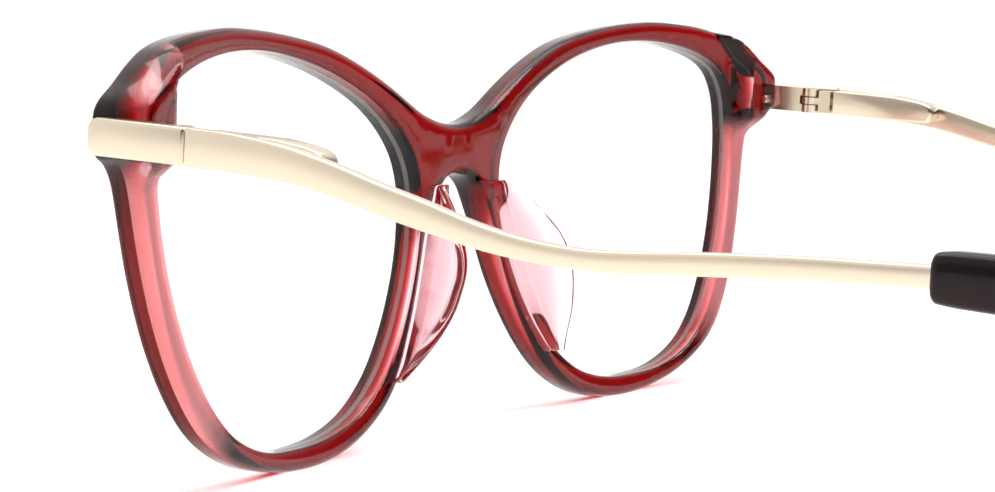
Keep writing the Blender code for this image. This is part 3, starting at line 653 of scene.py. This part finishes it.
def object_noise(tree, scale, detail=3.0, stretch=(1.0, 1.0, 1.0)):
    place = tree.nodes.new("ShaderNodeTexCoord")
    mapping = tree.nodes.new("ShaderNodeMapping")
    mapping.inputs["Scale"].default_value = stretch
    noise = tree.nodes.new("ShaderNodeTexNoise")
    noise.inputs["Scale"].default_value = scale
    noise.inputs["Detail"].default_value = detail
    tree.links.new(place.outputs["Object"], mapping.inputs["Vector"])
    tree.links.new(mapping.outputs["Vector"], noise.inputs["Vector"])
    return noise.outputs["Fac"]


def ranged(tree, value, low, high):
    node = tree.nodes.new("ShaderNodeMapRange")
    node.inputs["To Min"].default_value = low
    node.inputs["To Max"].default_value = high
    tree.links.new(value, node.inputs["Value"])
    return node.outputs["Result"]


def bumped(tree, shader, height, strength, distance):
    bump = tree.nodes.new("ShaderNodeBump")
    bump.inputs["Strength"].default_value = strength
    bump.inputs["Distance"].default_value = distance
    tree.links.new(height, bump.inputs["Height"])
    tree.links.new(bump.outputs["Normal"], shader.inputs["Normal"])


def open_joints(tree, shader):
    """Nothing shows where a face is marked as a bonded joint, and lamps shine through the surface."""
    out = tree.nodes["Material Output"]
    ray = tree.nodes.new("ShaderNodeLightPath")
    mark = tree.nodes.new("ShaderNodeAttribute")
    mark.attribute_name = "joint"
    either = tree.nodes.new("ShaderNodeMath")
    either.operation = "MAXIMUM"
    clear = tree.nodes.new("ShaderNodeBsdfTransparent")
    mix = tree.nodes.new("ShaderNodeMixShader")
    tree.links.new(ray.outputs["Is Shadow Ray"], either.inputs[0])
    tree.links.new(mark.outputs["Fac"], either.inputs[1])
    tree.links.new(either.outputs["Value"], mix.inputs["Fac"])
    tree.links.new(shader.outputs["BSDF"], mix.inputs[1])
    tree.links.new(clear.outputs["BSDF"], mix.inputs[2])
    tree.links.new(mix.outputs["Shader"], out.inputs["Surface"])


def absorbing(tree, colour, density):
    volume = tree.nodes.new("ShaderNodeVolumeAbsorption")
    volume.inputs["Color"].default_value = (*colour, 1.0)
    volume.inputs["Density"].default_value = density
    tree.links.new(volume.outputs["Volume"], tree.nodes["Material Output"].inputs["Volume"])


def acetate(name, colour, density, roughness):
    """Polished clear plastic, coloured through its depth, with faint polishing waves."""
    material, tree, shader = node_material(name)
    shader.inputs["Base Color"].default_value = (1.0, 1.0, 1.0, 1.0)
    shader.inputs["Transmission Weight"].default_value = 1.0
    shader.inputs["IOR"].default_value = ACETATE_IOR
    shader.inputs["Specular Tint"].default_value = ACETATE_SHEEN
    buffing = ranged(tree, object_noise(tree, 260.0), roughness * 0.6, roughness * 1.5)
    tree.links.new(buffing, shader.inputs["Roughness"])
    bumped(tree, shader, object_noise(tree, 190.0, 1.0), 0.35, POLISH_WAVES)
    open_joints(tree, shader)
    absorbing(tree, colour, density)
    return material


def paint_light_towards_temples(material):
    """Painted light: towards the temples and low down, the pink sheet mixes in a pale diffuse and translucent
    layer, so it shows lighter pink where light shines through.
    """
    tree = material.node_tree
    shader = tree.nodes["Principled BSDF"]
    taken = shader.outputs["BSDF"].links[0].to_socket
    mark = tree.nodes.new("ShaderNodeAttribute")
    mark.attribute_name = "painted_light_mask"
    diffuse = tree.nodes.new("ShaderNodeBsdfDiffuse")
    diffuse.inputs["Color"].default_value = PAINTED_LIGHT_DIFFUSE
    through = tree.nodes.new("ShaderNodeBsdfTranslucent")
    through.inputs["Color"].default_value = PAINTED_LIGHT_TRANSLUCENT
    both = tree.nodes.new("ShaderNodeAddShader")
    mix = tree.nodes.new("ShaderNodeMixShader")
    tree.links.new(diffuse.outputs["BSDF"], both.inputs[0])
    tree.links.new(through.outputs["BSDF"], both.inputs[1])
    tree.links.new(ranged(tree, mark.outputs["Fac"], 0.0, PAINTED_LIGHT_STRENGTH), mix.inputs["Fac"])
    tree.links.new(shader.outputs["BSDF"], mix.inputs[1])
    tree.links.new(both.outputs["Shader"], mix.inputs[2])
    tree.links.new(mix.outputs["Shader"], taken)


def blush_towards_rim(material):
    """The pads are pink where they meet the rim and clear along their ridge."""
    tree = material.node_tree
    mark = tree.nodes.new("ShaderNodeAttribute")
    mark.attribute_name = "blush"
    mix = tree.nodes.new("ShaderNodeMix")
    mix.data_type = "RGBA"
    mix.inputs["A"].default_value = (1.0, 1.0, 1.0, 1.0)
    mix.inputs["B"].default_value = BLUSH
    tree.links.new(mark.outputs["Fac"], mix.inputs["Factor"])
    tree.links.new(mix.outputs["Result"], tree.nodes["Principled BSDF"].inputs["Base Color"])


def lens_glass():
    """Thin coated lens: clear, with a faint green reflection that grows at a slant."""
    material, tree, shader = node_material("lens_surface")
    tree.nodes.remove(shader)
    clear = tree.nodes.new("ShaderNodeBsdfTransparent")
    clear.inputs["Color"].default_value = LENS_TINT
    gloss = tree.nodes.new("ShaderNodeBsdfGlossy")
    gloss.inputs["Color"].default_value = LENS_COATING
    gloss.inputs["Roughness"].default_value = 0.02
    facing = tree.nodes.new("ShaderNodeLayerWeight")
    facing.inputs["Blend"].default_value = 0.5
    power = tree.nodes.new("ShaderNodeMath")
    power.operation = "POWER"
    power.inputs[1].default_value = SCHLICK_POWER
    tree.links.new(facing.outputs["Facing"], power.inputs[0])
    mix = tree.nodes.new("ShaderNodeMixShader")
    tree.links.new(ranged(tree, power.outputs["Value"], *LENS_REFLECTION), mix.inputs["Fac"])
    tree.links.new(clear.outputs["BSDF"], mix.inputs[1])
    tree.links.new(gloss.outputs["BSDF"], mix.inputs[2])
    tree.links.new(mix.outputs["Shader"], tree.nodes["Material Output"].inputs["Surface"])
    return material


def lens_edge():
    """Ground edge of the lens: mostly clear, so that the wall of the opening shows through."""
    material, tree, shader = node_material("lens_edge")
    shader.inputs["Base Color"].default_value = EDGE_GROUND
    tree.links.new(ranged(tree, object_noise(tree, 900.0), 0.35, 0.6), shader.inputs["Roughness"])
    clear = tree.nodes.new("ShaderNodeBsdfTransparent")
    clear.inputs["Color"].default_value = EDGE_CLEAR
    mix = tree.nodes.new("ShaderNodeMixShader")
    mix.inputs["Fac"].default_value = EDGE_CLEARNESS
    tree.links.new(shader.outputs["BSDF"], mix.inputs[1])
    tree.links.new(clear.outputs["BSDF"], mix.inputs[2])
    tree.links.new(mix.outputs["Shader"], tree.nodes["Material Output"].inputs["Surface"])
    return material


def plated_metal(name, colour, roughness):
    """Plated metal with a fine satin grain that runs along the temple."""
    material, tree, shader = node_material(name)
    shader.inputs["Metallic"].default_value = 1.0
    fine = object_noise(tree, 900.0, 4.0, (1.0, 0.06, 1.0))
    broad = object_noise(tree, 70.0, 2.0)
    mix = tree.nodes.new("ShaderNodeMix")
    mix.data_type = "RGBA"
    for name_in, share in (("A", METAL_SHADES[0]), ("B", METAL_SHADES[1])):
        mix.inputs[name_in].default_value = (*[share * c for c in colour], 1.0)
    tree.links.new(broad, mix.inputs["Factor"])
    tree.links.new(mix.outputs["Result"], shader.inputs["Base Color"])
    tree.links.new(ranged(tree, fine, roughness * 0.85, roughness * 1.15), shader.inputs["Roughness"])
    bumped(tree, shader, fine, 0.25, METAL_GRAIN)
    return material


def tip_plastic():
    """Nearly black burgundy plastic with a slow marble of red."""
    material, tree, shader = node_material("tip_plastic")
    ramp = tree.nodes.new("ShaderNodeValToRGB")
    for element, (position, colour) in zip(ramp.color_ramp.elements, TIP_MARBLE):
        element.position = position
        element.color = colour
    tree.links.new(object_noise(tree, 120.0, 2.0, (1.0, 0.3, 1.0)), ramp.inputs["Fac"])
    tree.links.new(ramp.outputs["Color"], shader.inputs["Base Color"])
    tree.links.new(ranged(tree, object_noise(tree, 300.0), 0.05, 0.11), shader.inputs["Roughness"])
    shader.inputs["Specular IOR Level"].default_value = 0.2
    shader.inputs["Coat Weight"].default_value = 0.1
    shader.inputs["Coat Roughness"].default_value = 0.04
    bumped(tree, shader, object_noise(tree, 160.0, 1.0), 0.25, POLISH_WAVES)
    return material


DARK = acetate("acetate_burgundy", *DARK_ABSORB, 0.05)
PINK = acetate("acetate_pink", *PINK_ABSORB, 0.05)
# Painted light: lighter pink on the pink sheet towards the temples
paint_light_towards_temples(PINK)
PAD = acetate("pad_plastic", *PAD_ABSORB, 0.04)
blush_towards_rim(PAD)
LENS = lens_glass()
LENS_EDGE = lens_edge()
GOLD = plated_metal("champagne_plating", CHAMPAGNE, 0.24)
STEEL = plated_metal("screw_steel", SCREW_STEEL, 0.3)
TIP = tip_plastic()


# The object --------------------------------------------------------------------

def build_front():
    outline = resample(spline(full_outline(), closed=True, steps=OUTLINE_STEPS), OUTLINE_SPACING)
    loops = [outline]
    for side, _ in SIDES:
        loops.append(resample(spline(opening(side), closed=True), OUTLINE_SPACING))
    front = rounded_profile(0.0, LAMINATE - JOINT, FRONT_ROUND, 0.0)
    bm = sheet_mesh(loops, front, front, None, False, True)
    new_piece("front_sheet", bm, (DARK,), "front", ["front_layer"])
    back = rounded_profile(LAMINATE + JOINT, BACK, 0.0, BACK_ROUND)
    hole = rounded_profile(LAMINATE + JOINT, BACK, 0.0, OPENING_ROUND)
    bm = sheet_mesh(loops, back, hole, block_rise, True, False, near_blocks)
    new_piece("back_sheet", bm, (PINK,), "front", ["back_layer"])


def build_side(side, label):
    bm = lens_mesh(side)
    new_piece(label + "_lens_plate", bm, (LENS, LENS_EDGE), "front", [label + "_lens"])
    new_piece(label + "_pad_fin", pad_mesh(side), (PAD,), "front", [label + "_nose_pad"])
    bm = plate_mesh(endpiece_outline(), PLATE_INNER_FACE, OUTER_FACE, side, PLATE_ROUND)
    new_piece(label + "_end_plate", bm, (GOLD,), "front", [label + "_endpiece_plate"])
    temple = label + "_temple"
    bm = plate_mesh(box_outline(), BOX_INNER_FACE, ARM_INNER_FACE - BOX_SINK, side, BOX_ROUND)
    new_piece(label + "_spring_case", bm, (GOLD,), temple, [label + "_spring_box"])
    new_piece(label + "_arm", arm_mesh(side), (GOLD,), temple, [label + "_temple_arm"])
    new_piece(label + "_tip", tip_mesh(side), (TIP,), temple, [label + "_temple_tip"])
    for node, material in (("front_hinge", GOLD), ("endpiece_screw", STEEL), ("hinge_screw", STEEL),
                           ("hinge_slider", GOLD), ("spring_stop", STEEL), ("hinge_spring", STEEL)):
        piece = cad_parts[label + "_" + node]
        piece.data.materials.clear()
        piece.data.materials.append(material)


# Studio ------------------------------------------------------------------------

def build_camera():
    level = math.cos(PITCH)
    look = Vector((-math.cos(HEADING) * level, -math.sin(HEADING) * level, -math.sin(PITCH)))
    right = Vector((-math.sin(HEADING), math.cos(HEADING), 0.0))
    up = right.cross(look)
    turned_right = math.cos(ROLL) * right + math.sin(ROLL) * up
    turned_up = math.cos(ROLL) * up - math.sin(ROLL) * right
    data = bpy.data.cameras.new("camera")
    data.lens = LENS_MM
    data.sensor_width = 36.0
    data.clip_start = 0.005
    data.clip_end = 50.0
    camera = bpy.data.objects.new("camera", data)
    basis = Matrix((turned_right, turned_up, -look)).transposed().to_4x4()
    camera.matrix_world = Matrix.Translation(to_row(EYE)) @ basis
    bpy.context.scene.collection.objects.link(camera)
    bpy.context.scene.camera = camera


def build_world():
    world = bpy.data.worlds.new("studio")
    bpy.context.scene.world = world
    world.use_nodes = True
    tree = world.node_tree
    back = tree.nodes["Background"]
    place = tree.nodes.new("ShaderNodeTexCoord")
    dot = tree.nodes.new("ShaderNodeVectorMath")
    dot.operation = "DOT_PRODUCT"
    dot.inputs[1].default_value = BRIGHT_SIDE
    shape = tree.nodes.new("ShaderNodeMapRange")
    shape.interpolation_type = "SMOOTHSTEP"
    shape.inputs["From Min"].default_value, shape.inputs["From Max"].default_value = BRIGHT_EDGE
    shape.inputs["To Min"].default_value = WORLD_DARK
    shape.inputs["To Max"].default_value = WORLD_BRIGHT
    ray = tree.nodes.new("ShaderNodeLightPath")
    seen = tree.nodes.new("ShaderNodeMix")
    seen.inputs["B"].default_value = BACKDROP
    tree.links.new(place.outputs["Generated"], dot.inputs[0])
    tree.links.new(dot.outputs["Value"], shape.inputs["Value"])
    tree.links.new(ray.outputs["Is Camera Ray"], seen.inputs["Factor"])
    tree.links.new(shape.outputs["Result"], seen.inputs["A"])
    tree.links.new(seen.outputs["Result"], back.inputs["Strength"])
    back.inputs["Color"].default_value = (1.0, 1.0, 1.0, 1.0)


def build_floor():
    bm = bmesh.new()
    bmesh.ops.create_circle(bm, cap_ends=True, radius=TABLE_RADIUS, segments=96)
    mesh = bpy.data.meshes.new("floor")
    bm.to_mesh(mesh)
    bm.free()
    floor = bpy.data.objects.new("floor", mesh)
    floor.location = (0.0, 0.0, -TABLE_GAP)
    bpy.context.scene.collection.objects.link(floor)
    material, tree, shader = node_material("table_white")
    shader.inputs["Base Color"].default_value = TABLE_WHITE
    shader.inputs["Roughness"].default_value = 0.6
    shader.inputs["Specular IOR Level"].default_value = 0.2
    mesh.materials.append(material)


def area_light(name, place, target, size, energy):
    data = bpy.data.lights.new(name, "AREA")
    data.shape = "RECTANGLE"
    data.size, data.size_y = size
    data.energy = energy
    lamp = bpy.data.objects.new(name, data)
    lamp.location = place
    lamp.rotation_euler = (Vector(target) - Vector(place)).to_track_quat("-Z", "Y").to_euler()
    bpy.context.scene.collection.objects.link(lamp)


def sun_light():
    data = bpy.data.lights.new("soft_sun", "SUN")
    data.energy = SUN_ENERGY
    data.angle = SUN_SPREAD
    lamp = bpy.data.objects.new("soft_sun", data)
    lamp.rotation_euler = SUN_TURN
    bpy.context.scene.collection.objects.link(lamp)


build_front()
for side, label in SIDES:
    build_side(side, label)
build_camera()
build_world()
build_floor()
sun_light()
area_light("overhead", OVERHEAD_PLACE, (0.0, 0.0, 0.0), OVERHEAD_SIZE, OVERHEAD_ENERGY)

scene = bpy.context.scene
scene.view_settings.view_transform = "Standard"
scene.cycles.max_bounces = 20
scene.cycles.transmission_bounces = 18
scene.cycles.transparent_max_bounces = 24
scene.cycles.sample_clamp_indirect = 8.0
